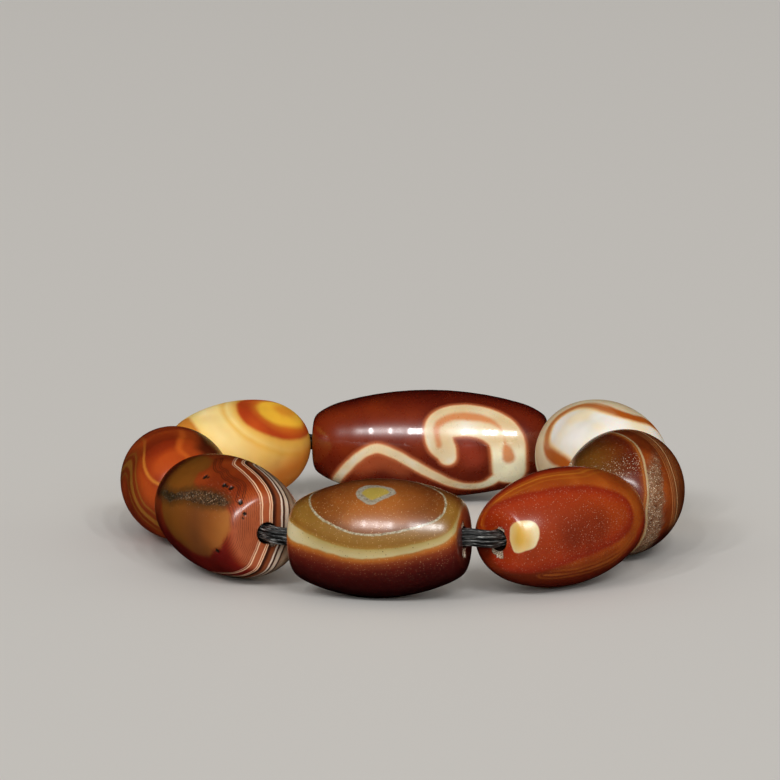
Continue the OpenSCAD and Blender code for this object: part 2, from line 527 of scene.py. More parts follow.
def dust(shader, colour, where, share, tone=0.6, tint=SPECK):
    """Fine pale dust under the polish, as weathered agate has, in a share of its small cells."""
    fine = shader.specks(DUST_CELLS, DUST_SIZE, share)
    wide = shader.specks(DUST_CELLS * 0.35, DUST_SIZE * 1.2, share * 0.5)
    spots = shader.both(shader.math("MAXIMUM", shader.both(fine, 0.8), wide), where)
    return shader.over(colour, spots, tint, tone)


# Front bead: an eye in a brown field, inside a fine line, an ochre zone and a pale band

EYE_CORE = [
    (-0.9, 31), (-0.4, 25), (0.7, 22.5), (1.9, 24.5), (2.5, 30.5), (1.7, 36), (0.8, 41), (0.2, 40),
    (-0.5, 36)]
EYE_RING = [
    (-1.6, 30), (-1.2, 22), (-0.1, 18.5), (1.4, 20), (2.8, 24), (3.3, 31), (2.5, 37), (1.7, 42), (0.6, 47),
    (-0.4, 43.5), (-1.3, 37)]
FIELD_EDGE = [
    (-8, 15), (-7.9, 26), (-7.5, 38), (-6.7, 50), (-5.6, 59), (-4, 67), (-1.8, 74.5), (1, 77.5),
    (3.4, 75.5), (5.6, 71), (7.4, 65), (8.7, 57), (9.4, 46), (9.5, 34), (9.2, 22), (8.6, 12), (7.4, 4),
    (5.4, -4), (2, -10), (-2, -11), (-5, -5), (-7.2, 4)]
BAND_INNER = [
    (-11, 42), (-10.5, 53), (-9.1, 66), (-6.8, 77), (-3.8, 86.5), (0, 91), (4, 90), (7, 85.5), (9.2, 79),
    (10.4, 69), (11, 56), (11.3, 40), (11.3, 20), (11.1, 3), (10.2, -12), (7.5, -27), (3, -36), (-2, -37),
    (-7, -28), (-10, -12), (-11, 8), (-11.2, 30)]
BAND_OUTER = [
    (-11.3, 62), (-10.5, 77), (-9, 85), (-6, 92), (-2, 99), (2, 99.5), (6, 95.5), (9, 89.5), (10.3, 82),
    (11.2, 70), (11.6, 56), (11.8, 38), (11.8, 18), (11.7, 0), (11, -18), (8.2, -36), (3, -45), (-2, -46),
    (-8, -36), (-11, -18), (-11.6, 5), (-11.7, 35)]


def front_bead(bead, shader):
    fields = {"eye_core": bead.loop_distance(EYE_CORE), "eye_ring": bead.loop_distance(EYE_RING),
              "field_edge": bead.loop_distance(FIELD_EDGE), "band_inner": bead.loop_distance(BAND_INNER),
              "band_outer": bead.loop_distance(BAND_OUTER), "high": ramp01(np.abs(bead.phi), 42, 2),
              "left": ramp01(bead.s, -7, -10)}
    edge = shader.warp("field_edge", 0.25, 0.9)
    inner = shader.warp("band_inner", 0.25, 0.6)
    outer = shader.warp("band_outer", 0.3, 0.8)
    ring = shader.warp("eye_ring", 0.35, 1.4)
    core = shader.warp("eye_core", 0.4, 1.8)
    drift = shader.noise(0.14, 2.0)
    grain = shader.noise(3.0, 3.0, 0.6)
    under = shader.ramp(outer, [
        (0.0, (0.42, 0.19, 0.035)), (0.35, (0.42, 0.115, 0.008)), (0.9, (0.22, 0.032, 0.003)),
        (1.8, (0.11, 0.006, 0.001)), (3.0, (0.06, 0.002, 0.001)), (6.0, (0.03, 0.001, 0.001))], 0.0, 7.0)
    band = shader.ramp(inner, [
        (0.0, (0.36, 0.26, 0.07)), (0.3, (0.44, 0.33, 0.12)), (0.9, (0.52, 0.42, 0.2))])
    ochre = shader.ramp(inner, [
        (-3.4, (0.14, 0.05, 0.004)), (-2.0, (0.25, 0.12, 0.015)), (-1.1, (0.27, 0.12, 0.01)),
        (-0.5, (0.23, 0.09, 0.006)), (-0.1, (0.32, 0.16, 0.02))], -3.4, 0.0)
    ochre = shader.over(ochre, shader.step("field_edge", 2.6, 0.4), (0.26, 0.12, 0.012))
    brown = shader.tones(drift, 0.12, (0.2, 0.05, 0.003), (0.25, 0.068, 0.004), (0.33, 0.1, 0.01))
    brown = shader.layers(brown, [
        (shader.step(edge, -1.3, -0.1), (0.2, 0.055, 0.003)),
        (shader.step(edge, -1.6, -3.2), (0.4, 0.11, 0.012), 0.35)])
    band = shader.over(band, "left", (0.56, 0.47, 0.27))
    colour = shader.over(under, shader.step(outer, 0.16, -0.12), band)
    pits = shader.both(shader.specks(3.4, 0.06, 0.4), shader.step(outer, 0.0, -0.2))
    colour = shader.layers(colour, [
        (pits, PIT_BLACK),
        (shader.step(inner, 0.12, -0.12), ochre),
        (shader.step(edge, 0.1, -0.1), brown),
        # Painted shade: the top of the bead is darkened
        ("high", (0.14, 0.024, 0.002), 0.75)])
    worn_line = shader.ramp(grain, [
        (0.34, (0.2, 0.14, 0.07)), (0.5, (0.36, 0.3, 0.18)), (0.62, (0.5, 0.44, 0.32))])
    rough_edge = shader.warp(edge, 0.16, 3.5)
    colour = shader.over(colour, shader.line(rough_edge, 0.0, 0.13, 0.12), worn_line)
    grey = shader.tones(grain, 0.15, (0.25, 0.2, 0.13), (0.31, 0.27, 0.2), (0.36, 0.32, 0.25))
    colour = shader.over(colour, shader.step(ring, 0.08, -0.08), grey)
    rim_pits = shader.both(shader.specks(3.0, 0.08, 0.5), shader.line(core, 0.1, 0.16, 0.1))
    colour = shader.layers(colour, [
        (rim_pits, PIT_BLACK),
        (shader.step(core, 0.12, -0.2), (0.4, 0.29, 0.045))])
    banded = shader.both(shader.step(outer, 0.0, -0.1), shader.step(inner, 0.0, 0.1))
    dusty = shader.ramp(outer, [(0.0, (1, 1, 1)), (1.5, (0.6, 0.6, 0.6)), (4.0, (0.12, 0.12, 0.12))], 0, 4)
    dusty = shader.both(dusty, shader.math("SUBTRACT", 1.0, banded))
    colour = dust(shader, colour, dusty, 0.7, tone=0.65, tint=(0.8, 0.5, 0.24))
    material = polish(shader, colour, 0.36, coat=1.0, coat_rough=0.19, gloss=0.6)
    chips = [(1, 160, 36, 1.3, 1.0), (1, 25, 30, 0.8, 0.9)]
    return fields, material, chips


# Front right bead: orange-red, wrapped in an amber band, with one cream spot beside its bore

RED_CORE = [
    (-16, -70), (-13.6, -62), (-12.3, -32), (-11, -8), (-9.5, 10), (-7, 22), (-4, 30), (0, 38), (4, 50),
    (6, 60), (6.5, 75), (6, 88), (4.5, 98), (1, 105), (-3, 112), (-7, 124), (-10, 140), (-12, 160),
    (-13, 185), (-14, 220), (-16, 235)]
AMBER_OUTER = [
    (-16, -100), (-14.3, -90), (-12.9, -50), (-11.8, -28), (-9.8, -12), (-7, -3), (-4, 2), (-1.5, 9),
    (0.5, 13), (3, 10), (6, 4), (10, -4), (14, -10), (14, 60), (11.5, 74), (9, 88), (7, 102), (5, 116),
    (3.5, 130), (0, 134), (-4, 140), (-8, 150), (-11, 165), (-12.5, 190), (-14, 215), (-16, 225)]
AMBER_LINE = [
    (-13, -58), (-12.2, -32), (-11, -15), (-9, -4), (-7, 2), (-5, 6), (-3, 12), (-1, 17.5), (1, 19),
    (3, 15), (6, 10), (9, 6), (12, 0)]
CREAM_SPOT = [
    (-13.1, 46), (-12, 49), (-10.6, 57), (-10.0, 66), (-10.0, 75), (-10.4, 88), (-10.8, 96), (-11.8, 102),
    (-12.9, 112), (-13.6, 108), (-14.1, 82), (-13.7, 56)]


def front_right_bead(bead, shader):
    fields = {"core": bead.loop_distance(RED_CORE), "amber": bead.loop_distance(AMBER_OUTER),
              "thread_line": bead.line_distance(AMBER_LINE), "spot": bead.loop_distance(CREAM_SPOT),
              "spot_heart": bead.path_distance([(-12.3, 62, 0.3), (-12.6, 82, 0.6)]),
              "low_streak": bead.path_distance([(-8, 137), (-2, 127), (3.5, 118), (6.5, 104)]),
              "shaded": bead.path_distance([(-5, 86), (-1.5, 82)]), "ahead": ramp01(bead.s, -7, 6),
              "low": bead.low_side(104, 136)}
    core = shader.warp("core", 0.5, 0.35)
    amber = shader.warp("amber", 0.5, 0.35)
    line = shader.warp("thread_line", 0.4, 0.4)
    streak = shader.warp("low_streak", 0.6, 0.3)
    spot = shader.warp("spot", 0.2, 0.8)
    drift = shader.noise(0.16, 2.0)
    outside = shader.ramp(amber, [
        (0.0, (0.44, 0.05, 0.002)), (0.8, (0.38, 0.024, 0.001)), (3.0, (0.2, 0.009, 0.001)),
        (8.0, (0.15, 0.007, 0.001))], 0.0, 8.0)
    honey = shader.tones(drift, 0.14, (0.38, 0.06, 0.002), (0.44, 0.08, 0.003), (0.52, 0.11, 0.005))
    red = shader.ramp(core, [
        (-6.0, (0.3, 0.03, 0.001)), (-3.5, (0.31, 0.03, 0.001)), (-1.6, (0.36, 0.03, 0.001)),
        (-0.4, (0.3, 0.018, 0.001))], -6.0, 0.0)
    warm = shader.both("ahead", shader.step(core, -0.8, -2.6))
    red = shader.layers(red, [
        (warm, (0.42, 0.062, 0.002), 0.5),
        (shader.step("shaded", 4.0, 0.5), (0.14, 0.012, 0.002), 0.6)])
    colour = shader.layers(outside, [
        (shader.step(amber, 0.3, -0.3), honey),
        # Painted shade: the low side of the bead is darkened
        ("low", (0.15, 0.012, 0.001), 0.9),
        (shader.step(core, 0.35, -0.55), red)])
    for centre, half, tone in ((0.0, 0.14, 0.75), (0.9, 0.08, 0.3), (-0.7, 0.07, 0.25)):
        mark = shader.both(shader.line(line, centre, half, 0.35), shader.step(core, 0.0, 0.5))
        colour = shader.over(colour, mark, (0.62, 0.19, 0.012), tone)
    for centre, tone in ((0.0, 0.6), (0.7, 0.35)):
        mark = shader.both(shader.line(streak, centre, 0.12, 0.45), shader.step(core, 0.1, 0.6))
        colour = shader.over(colour, mark, (0.5, 0.13, 0.012), tone)
    colour = dust(shader, colour, shader.step(core, 1.5, -0.5), 0.7, tone=0.65, tint=(0.75, 0.4, 0.26))
    cream = shader.ramp("spot_heart", [
        (-0.2, (0.66, 0.38, 0.06)), (0.7, (0.7, 0.48, 0.18)), (1.3, (0.74, 0.6, 0.34))], -0.5, 1.5)
    colour = shader.over(colour, shader.step(spot, 0.12, -0.12), cream)
    material = polish(shader, colour, 0.34, coat=1.0, coat_rough=0.24, gloss=0.5)
    chips = [(-1, -165, 34, 0.6, 1.0), (-1, 172, 24, 0.9, 0.9), (-1, 20, 26, 0.35, 0.7)]
    return fields, material, chips


# Right bead: olive and red brown, with one pale line, a band of open crystals and faint arcs beyond it

PALE_LINE = [
    (-180, -6), (-140, 2), (-110, 8), (-70, 9.3), (-40, 6), (-18, 1.5), (0, -3.2), (20, -7.8), (37, -10.8),
    (58, -12.4), (90, -13.3), (115, -12.9), (140, -11.5), (160, -9.5)]
# The arm of sparse crystals behind the line, from its loose end to where it meets the line
CRYSTAL_ARM = [
    (-11, -48, 0.3), (-12, -30, 0.5), (-12.4, -12, 0.8), (-12, 4, 1.1), (-11, 18, 1.3), (-10, 28, 0.9)]
ARC_NEAR = [(4, 20), (0, 34), (-4, 47), (-7, 60), (-8.1, 75), (-8.4, 90), (-8, 105), (-6.8, 120), (-4, 138)]
ARC_MIDDLE = [
    (6, 8), (2, 17), (0, 25), (-2, 37), (-4, 49), (-5.6, 60), (-6.5, 73), (-6.8, 86), (-6.5, 99),
    (-5.8, 111), (-4, 128)]
ARC_FAR = [(6, 22), (3, 32), (1, 42), (-1, 55), (-2.8, 68), (-3.7, 80), (-3.6, 93), (-2.4, 106), (0, 120)]
# How deep the open crystals lie, and how much deeper or less the single one, in mm
CRUST_DEPTH = 0.03
CRUST_ROUGH = 0.04


def right_bead(bead, shader):
    fields = {"pale_line": bead.ring_distance(PALE_LINE), "arc_near": bead.path_distance(ARC_NEAR),
              "arc_middle": bead.path_distance(ARC_MIDDLE), "arc_far": bead.path_distance(ARC_FAR),
              "sparse": bead.path_distance(CRYSTAL_ARM), "below": bead.low_side(30, 48, 290, 330),
              "low": bead.low_side(108, 128) * ramp01(bead.s, -9.5, -8)}
    crusted = ramp01(fields["pale_line"], 0.0, 0.4) * ramp01(fields["pale_line"], 3.4, 2.2) * fields["below"]
    bead.sink(crusted * (CRUST_DEPTH + CRUST_ROUGH * grit(bead, 0.25, 0.45, 0.7, 31)))
    line = shader.warp("pale_line", 0.25, 0.6)
    rim = shader.warp("pale_line", 2.2, 1.1, 5.0)
    arm = shader.warp("sparse", 1.6, 1.4, 5.0)
    near = shader.warp("arc_near", 0.25, 0.5)
    middle = shader.warp("arc_middle", 0.25, 0.5)
    far = shader.warp("arc_far", 0.4, 0.5)
    drift = shader.noise(0.18, 2.0)
    before = shader.ramp(line, [
        (-9.0, (0.17, 0.062, 0.004)), (-5.5, (0.17, 0.055, 0.003)), (-3.0, (0.15, 0.028, 0.001)),
        (-1.2, (0.14, 0.013, 0.001)), (-0.4, (0.26, 0.045, 0.002))], -9.0, 0.0)
    after = shader.tones(drift, 0.12, (0.2, 0.028, 0.001), (0.27, 0.045, 0.002), (0.34, 0.065, 0.004))
    colour = shader.layers(before, [
        (shader.step(line, -0.05, 0.1), after),
        (shader.step(far, 0.9, 0.0), (0.36, 0.12, 0.04), 0.3),
        (shader.line(middle, 0.0, 0.2, 0.2), (0.8, 0.42, 0.18))])
    for centre in (0.75, 1.2, 1.75):
        mark = shader.line(middle, centre, 0.1, 0.16)
        colour = shader.over(colour, mark, (0.6, 0.22, 0.06), 0.8)
    colour = shader.layers(colour, [
        (shader.line(near, 0.0, 0.1, 0.3), (0.48, 0.17, 0.05), 0.6),
        ("low", (0.07, 0.003, 0.001), 0.85)])
    # Open crystals beyond the line, thin out ahead of it, and only a few in an arm behind it
    band = shader.both(shader.both(shader.step(line, -0.05, 0.1), shader.step(rim, 3.2, 1.9)), "below")
    haze = shader.noise(0.9, 4.0, 0.6)
    brown = shader.tones(haze, 0.15, (0.17, 0.07, 0.028), (0.26, 0.14, 0.07), (0.36, 0.22, 0.125))
    colour = shader.over(colour, band, brown, 0.8)
    away, glinting, tilt, open_share = shader.cells(7.5)
    grain = shader.step(away, 0.6, 0.25)
    glint = shader.both(shader.step(glinting, 0.66, 0.92), grain)
    gap = shader.both(shader.step(open_share, 0.6, 0.9), grain)
    colour = shader.over(colour, shader.both(gap, band), (0.09, 0.035, 0.014))
    few = shader.both(shader.step(arm, 1.0, -0.5), shader.step(line, -0.1, -0.5))
    shown = shader.math("MAXIMUM", band, shader.both(few, shader.step(tilt, 0.15, 0.5)))
    colour = shader.layers(colour, [
        (shader.both(glint, shown), (0.85, 0.66, 0.46)),
        (shader.line(line, 0.05, 0.15, 0.2), (0.5, 0.34, 0.17)),
        (shader.line(line, -0.35, 0.12, 0.3), (0.42, 0.13, 0.015), 0.8)])
    colour = dust(shader, colour, shader.step(line, 0.5, -0.5), 0.5, tint=(0.7, 0.5, 0.3))
    facets = shader.bump(shader.both(tilt, shown), 0.12)
    material = polish(shader, colour, 0.34, coat=1.0, coat_rough=0.26, gloss=0.5, normal=facets)
    return fields, material, []


# Back right bead: white, with an orange band round one end of it and cream beyond

WHITE_EDGE = [
    (-98, -8), (-90, -6.7), (-84, -5.4), (-80.5, -2.6), (-77, -0.4), (-71, 1), (-62, 1.9), (-50, 2.4),
    (-35, 1.6), (-22.5, 0.3), (-15, -1.8), (-9, -4.4), (-1.5, -6.2), (6.5, -7), (18, -7.4), (35, -6.6),
    (60, -6), (100, -7), (150, -9), (-160, -10), (-120, -9.2)]


def back_right_bead(bead, shader):
    thick = np.maximum(ramp01(np.abs(bead.phi - 22), 44, 22), ramp01(np.abs(bead.phi + 84), 20, 6))
    fields = {"white_edge": bead.ring_distance(WHITE_EDGE), "thick": thick}
    edge = shader.warp("white_edge", 0.5, 0.35)
    drift = shader.noise(0.16, 2.0)
    white = shader.ramp(drift, [
        (0.36, (0.9, 0.76, 0.52)), (0.48, (0.86, 0.8, 0.7)), (0.64, (0.88, 0.84, 0.78))])
    white = shader.over(white, shader.step(edge, -1.6, -0.4), (0.86, 0.66, 0.4))
    cream = shader.ramp(edge, [
        (0.5, (0.7, 0.45, 0.2)), (1.5, (0.72, 0.58, 0.38)), (3.5, (0.66, 0.5, 0.3)),
        (6.0, (0.7, 0.58, 0.4)), (8.0, (0.6, 0.42, 0.24))], 0.0, 8.0)
    colour = shader.over(white, shader.step(edge, -0.1, 0.4), cream)
    wide = shader.both(shader.line(edge, 0.2, 0.95, 0.9), "thick")
    band = shader.math("MAXIMUM", wide, shader.both(shader.line(edge, 0.1, 0.72, 1.0), 0.9))
    rust = shader.over((0.48, 0.125, 0.01), "thick", (0.44, 0.09, 0.003))
    colour = shader.layers(colour, [
        (shader.line(edge, -0.7, 0.3, 0.9), (0.9, 0.5, 0.1), 0.45),
        (band, rust),
        (shader.line(edge, 4.6, 0.3, 1.2), (0.5, 0.17, 0.03), 0.45)])
    return fields, polish(shader, colour, 0.42, glow=0.35, gloss=0.4), []


# Long back bead: dark red brown, with a cream scroll and wave etched into it

SCROLL = [
    (-3.0, -96, 1.2), (-2.7, -89, 1.45), (-2.0, -81, 1.8), (-1.75, -70, 1.9), (-2.1, -61.5, 2.1),
    (-3.55, -55.5, 2.35), (-5.75, -53, 2.45), (-7.95, -55.5, 2.4), (-9.75, -63, 2.4), (-10.9, -74, 2.4),
    (-11.3, -88, 2.45), (-11.4, -104, 2.4), (-11.4, -118, 2.35), (-11.7, -126, 1.9)]
SCROLL_CORE = [
    (-1.8, -83, 0.2), (-1.45, -69, 0.25), (-1.8, -60, 0.32), (-3.05, -53, 0.4), (-4.75, -50, 0.45),
    (-6.75, -50, 0.42), (-8.75, -53, 0.2), (-10, -60.5, -0.05), (-10.7, -71, -0.2), (-10.9, -82, 0.0),
    (-11.2, -91, 0.5), (-11.4, -99, 0.7)]
WAVE = [
    (0, 122, 0.6), (6, 132, 0.6), (10.7, 154, 0.6), (12.6, 174, 0.6), (13.1, 192, 0.55), (13, 207, 0.55),
    (12.5, 222, 0.6), (11.7, 236.4, 0.62), (10.6, 250, 0.62), (9.4, 261, 0.62), (8.2, 268.4, 0.62),
    (6.9, 272.3, 0.62), (5.6, 270.6, 0.62), (4, 265.4, 0.62), (2.2, 257.6, 0.65), (0.45, 249, 0.65),
    (-1.35, 240.3, 0.65), (-3.15, 231, 0.65), (-4.95, 223.4, 0.7), (-6.75, 220.3, 0.75), (-8.35, 223, 0.8),
    (-9.55, 232, 0.8)]
BACK_WAVE = [
    (-11.7, 232, 1.2), (-12.4, 205, 0.7), (-11.4, 180, 0.6), (-8.8, 152, 0.6), (-5, 131, 0.6),
    (0, 122, 0.6)]
HUMP = [(9.4, -114, 0.4), (6.4, -101, 0.8), (3.4, -110, 0.5)]
WINDOW = [(-5.5, -88), (-6.5, -98)]


def long_back_bead(bead, shader):
    fields = {"etched": np.min([bead.path_distance(knots) for knots in (SCROLL, WAVE, BACK_WAVE)], 0),
              "scroll_core": bead.path_distance(SCROLL_CORE), "hump": bead.path_distance(HUMP),
              "window": bead.path_distance(WINDOW), "foot": ramp01(-bead.phi, 76, 96) * ramp01(-bead.s, 6, 8),
              "high": ramp01(bead.phi, -42, -5) * ramp01(bead.phi, 60, 20)}
    etch = shader.warp("etched", 0.22, 0.6)
    heart = shader.warp("scroll_core", 0.4, 0.6)
    drift = shader.noise(0.12, 2.0)
    brown = shader.tones(drift, 0.12, (0.13, 0.009, 0.001), (0.16, 0.013, 0.001), (0.2, 0.02, 0.001))
    brown = shader.layers(brown, [
        # Painted shade: the top of the bead is darkened
        ("high", (0.06, 0.002, 0.001), 0.75),
        (shader.step("hump", 1.8, -0.4), (0.42, 0.08, 0.02), 0.8),
        (shader.step("window", 2.6, 0.3), (0.3, 0.035, 0.012), 0.8),
        (shader.step(etch, 0.65, 0.0), (0.5, 0.13, 0.04))])
    cream = shader.ramp(drift, [
        (0.38, (0.76, 0.56, 0.3)), (0.5, (0.78, 0.63, 0.4)), (0.6, (0.84, 0.78, 0.64))])
    cream = shader.layers(cream, [
        # Brighter, yellower cream low on the right: partly the stone's own yellow and partly painted light
        ("foot", (0.98, 0.9, 0.63)),
        (shader.step(etch, -0.4, 0.0), (0.86, 0.6, 0.32)),
        (shader.step(heart, 0.55, -0.2), (0.66, 0.22, 0.06), 0.9)])
    colour = shader.over(brown, shader.step(etch, 0.18, -0.18), cream)
    material = polish(shader, colour, 0.28, glow=0.2, coat=1.0, coat_rough=0.1, gloss=0.8, grain=0.002)
    return fields, material, []


# Back left bead: honey yellow, with an orange ringed eye

EYE_OUTER = [
    (2.3, -35), (2, -48), (0.8, -58), (-1, -66), (-3, -72), (-5.5, -75.5), (-8, -74), (-10, -68),
    (-11.5, -58), (-12.3, -40), (-12, -20), (-10.5, -5), (-8, 5), (-5, 8), (-2, 3), (0.3, -8), (1.7, -22)]
EYE_YELLOW = [
    (-0.9, -36), (-1.3, -45), (-2.3, -53), (-4, -59), (-6, -61.5), (-8, -60), (-9.3, -52), (-9.8, -40),
    (-9.5, -25), (-8, -14), (-6, -9), (-3.8, -11), (-2, -19), (-1.1, -28)]
EYE_HEART = [
    (-4.4, -38), (-5, -44), (-6.5, -45), (-8, -40), (-8.3, -30), (-7, -22), (-5.3, -22), (-4.3, -30)]
ORANGE_END = [(-180, 9.5), (-120, 10.5), (-60, 9.6), (-20, 8.6), (0, 7.8), (20, 7), (60, 8.5), (120, 10)]


def back_left_bead(bead, shader):
    fields = {"eye_outer": bead.loop_distance(EYE_OUTER), "eye_yellow": bead.loop_distance(EYE_YELLOW),
              "eye_heart": bead.loop_distance(EYE_HEART), "orange_end": bead.ring_distance(ORANGE_END),
              "honeyed": ramp01(-bead.phi - 1.6 * bead.s, 40, 92) * (bead.phi < 0),
              "low": ramp01(-bead.phi - 1.6 * bead.s, 84, 118) * (bead.phi < 0)}
    outer = shader.warp("eye_outer", 0.5, 0.3)
    yellow = shader.warp("eye_yellow", 0.5, 0.3)
    heart = shader.warp("eye_heart", 0.6, 0.35)
    end = shader.warp("orange_end", 0.7, 0.4)
    around = shader.ramp(outer, [
        (0.0, (0.72, 0.32, 0.045)), (0.7, (0.84, 0.52, 0.12)), (1.4, (0.9, 0.66, 0.24)),
        (2.0, (0.84, 0.5, 0.11)), (2.7, (0.92, 0.7, 0.28)), (4.5, (0.93, 0.74, 0.34)),
        (6.2, (0.9, 0.64, 0.2)), (7.0, (0.92, 0.68, 0.26)), (9.0, (0.8, 0.42, 0.07))], 0.0, 9.0)
    drift = shader.noise(0.14, 2.0)
    around = shader.layers(around, [
        (shader.step(drift, 0.48, 0.66), (0.82, 0.46, 0.09), 0.3),
        ("honeyed", (0.78, 0.4, 0.05), 0.75),
        ("low", (0.6, 0.16, 0.008), 0.9)])
    ring = shader.tones(drift, 0.12, (0.46, 0.045, 0.002), (0.56, 0.08, 0.004))
    colour = shader.layers(around, [
        (shader.step(outer, 0.35, -0.35), ring),
        (shader.step(yellow, 1.4, 0.0), (0.66, 0.17, 0.008), 0.7),
        (shader.step(yellow, 0.4, -0.7), (0.9, 0.48, 0.03)),
        (shader.step(heart, 0.8, -0.8), (0.7, 0.2, 0.01), 0.65),
        (shader.step(end, -0.3, 0.4), (0.62, 0.22, 0.022))])
    return fields, polish(shader, colour, 0.45, glow=0.35, gloss=0.35), []


# Left bead: red-orange, with fine yellow lines that run along it

ORANGE_EDGE = [
    (-15, 4), (-8, 1), (-3, -1), (0, -1), (3, -2), (6, -1), (8, 2), (10, 6), (11, 8), (12, 6), (13, -4),
    (14, -16), (15, -30)]
BRIGHT_LINE = [
    (-15, 44), (-8, 39), (0, 36), (2, 36.5), (4, 38), (6, 40.5), (8, 45), (9.5, 50.5), (11, 57.5),
    (12.5, 64), (14, 67), (15.5, 68)]
OLIVE_LINE = [
    (-12, 96), (-6, 86), (-2, 79), (0.5, 72), (2, 67.5), (4, 64.5), (6, 66), (7.5, 72), (8.5, 80),
    (9.5, 92), (10.3, 105), (11, 118), (11.7, 132), (12, 150), (12.2, 175)]


def left_bead(bead, shader):
    fields = {"orange_edge": bead.line_distance(ORANGE_EDGE),
              "bright_line": bead.line_distance(BRIGHT_LINE), "olive_line": bead.path_distance(OLIVE_LINE),
              "rear": ramp01(bead.s, -1, -7), "ahead": 0.3 + 0.7 * ramp01(bead.s, 1, 9),
              "patch": ramp01(bead.s, 0, 4)}
    edge = shader.warp("orange_edge", 0.4, 0.3)
    bright = shader.warp("bright_line", 0.35, 0.3)
    olive = shader.warp("olive_line", 0.5, 0.35)
    drift = shader.noise(0.14, 2.0)
    red = shader.tones(drift, 0.12, (0.26, 0.022, 0.001), (0.34, 0.036, 0.001), (0.42, 0.055, 0.002))
    patch = shader.both("patch", shader.step(edge, 0.3, -0.6))
    red = shader.over(red, patch, (0.38, 0.048, 0.002))
    rim = shader.both("patch", shader.line(edge, -0.35, 0.3, 0.9))
    red = shader.layers(red, [
        (rim, (0.6, 0.11, 0.006), 0.7),
        (shader.step(edge, -1.6, -3.6), (0.09, 0.011, 0.001))])
    glow = shader.both(shader.step(bright, -0.2, 1.2), shader.step(bright, 5.5, 3.0))
    colour = shader.over(red, glow, (0.42, 0.06, 0.002), 0.85)
    shown = shader.both(shader.line(bright, 0.0, 0.16, 0.5), "ahead")
    colour = shader.layers(colour, [
        (shown, (0.56, 0.17, 0.016)),
        ("rear", (0.15, 0.012, 0.001), 0.5),
        (shader.step(olive, 3.4, 0.8), (0.18, 0.022, 0.001), 0.85),
        (shader.line(olive, 0.15, 0.3, 0.4), (0.3, 0.11, 0.01)),
        (shader.line(olive, 1.4, 0.16, 0.3), (0.28, 0.1, 0.009), 0.8)])
    return fields, polish(shader, colour, 0.36, coat=0.25, coat_rough=0.28, gloss=0.4), []


# Front left bead: olive and ochre round a rough slit of crystals, with thin cream stripes beside it

SLIT = [
    (-6.5, 70), (-5, 65.5), (-3, 66), (-1, 64.5), (0.5, 60), (2, 56), (4, 51.5), (6, 48), (8, 46.5),
    (9.6, 47), (9.8, 52), (9, 57), (7.5, 61), (5.5, 64.5), (3, 66.5), (1, 68), (0, 70), (-1.5, 74),
    (-3.5, 74.5), (-5.2, 73)]
OCHRE_EDGE = [
    (-9, 30), (-7, 16), (-3, 10), (0, 16), (1.5, 26), (1.2, 40), (3, 50), (10, 56), (11.6, 70), (11.4, 90),
    (10.5, 105), (9.5, 111), (8.5, 115), (7.5, 120), (6.5, 123), (5, 123.5), (3.5, 121), (2, 117), (0, 112),
    (-2, 106), (-3.5, 97), (-4.4, 88), (-5.4, 79), (-8, 76), (-10, 70), (-10.5, 50)]
# Pits: s, phi, radius and depth in mm
PITS = [
    (2.7, 36.5, 0.36, 0.22), (3.3, 35.5, 0.22, 0.14), (7, 33.5, 0.34, 0.24), (7.6, 33, 0.2, 0.14),
    (8.3, 31.5, 0.36, 0.24), (11.2, 39, 0.3, 0.2), (12.7, 49, 0.24, 0.18), (12.8, 57, 0.18, 0.12),
    (9.2, 112.5, 0.3, 0.2)]
WAVY = [
    (-0.2, 9), (2.7, 21.5), (4.4, 21.5), (5.8, 24.5), (7, 23.5), (8.3, 21), (9.4, 22.5), (10.1, 28.5),
    (10.8, 36.5)]
# The stripes, by their depth in mm outwards from the plane through the bore: depth, half width, tone
STRIPES = [(0.93, 0.05, 0.65), (0.66, 0.08, 1.0), (-0.34, 0.075, 1.0), (-0.63, 0.075, 0.95)]
# The bands of the inner side, from the innermost depth outwards
INNER_BANDS = [
    (-7.2, (0.3, 0.16, 0.09)), (-6.0, (0.2, 0.09, 0.04)), (-5.0, (0.4, 0.26, 0.17)),
    (-4.2, (0.25, 0.12, 0.06)), (-3.6, (0.45, 0.3, 0.19)), (-3.12, (0.3, 0.17, 0.1)),
    (-3.04, (0.05, 0.016, 0.007)), (-2.9, (0.06, 0.02, 0.009)), (-2.8, (0.72, 0.55, 0.41)),
    (-2.42, (0.64, 0.48, 0.35)), (-2.32, (0.07, 0.022, 0.01)), (-2.1, (0.06, 0.016, 0.007)),
    (-2.04, (0.85, 0.66, 0.52)), (-1.88, (0.85, 0.66, 0.52)), (-1.8, (0.24, 0.07, 0.025)),
    (-1.35, (0.26, 0.055, 0.012)), (-1.15, (0.11, 0.02, 0.005)), (-0.95, (0.045, 0.009, 0.003)),
    (-0.74, (0.045, 0.009, 0.003))]
# The striations lie this far apart, in mm; how deep the slit's crystals lie, and how much deeper or less the
# single one
STRIATION = 0.27
SLIT_DEPTH = 0.1
SLIT_ROUGH = 0.05
# Where the stripes' planes bend, how steeply and how softly: near the bead's middle, and under the bore
MIDDLE_BEND = (3.2, 0.62, 0.25)
UNDER_BEND = (-0.5, 0.45, 0.3)


def bend(x, start, slope, soft):
    """0 above the start and a straight slope below it, with a soft bend between."""
    return slope * soft * np.log1p(np.exp((start - x) / soft))


def stripe_depth(bead):
    """Depth of the stripes' planes in mm: they bend near the bead's middle and again under the bore."""
    along, out, up = bead.local.T
    return out + bend(along, *MIDDLE_BEND) - bend(up, *UNDER_BEND)


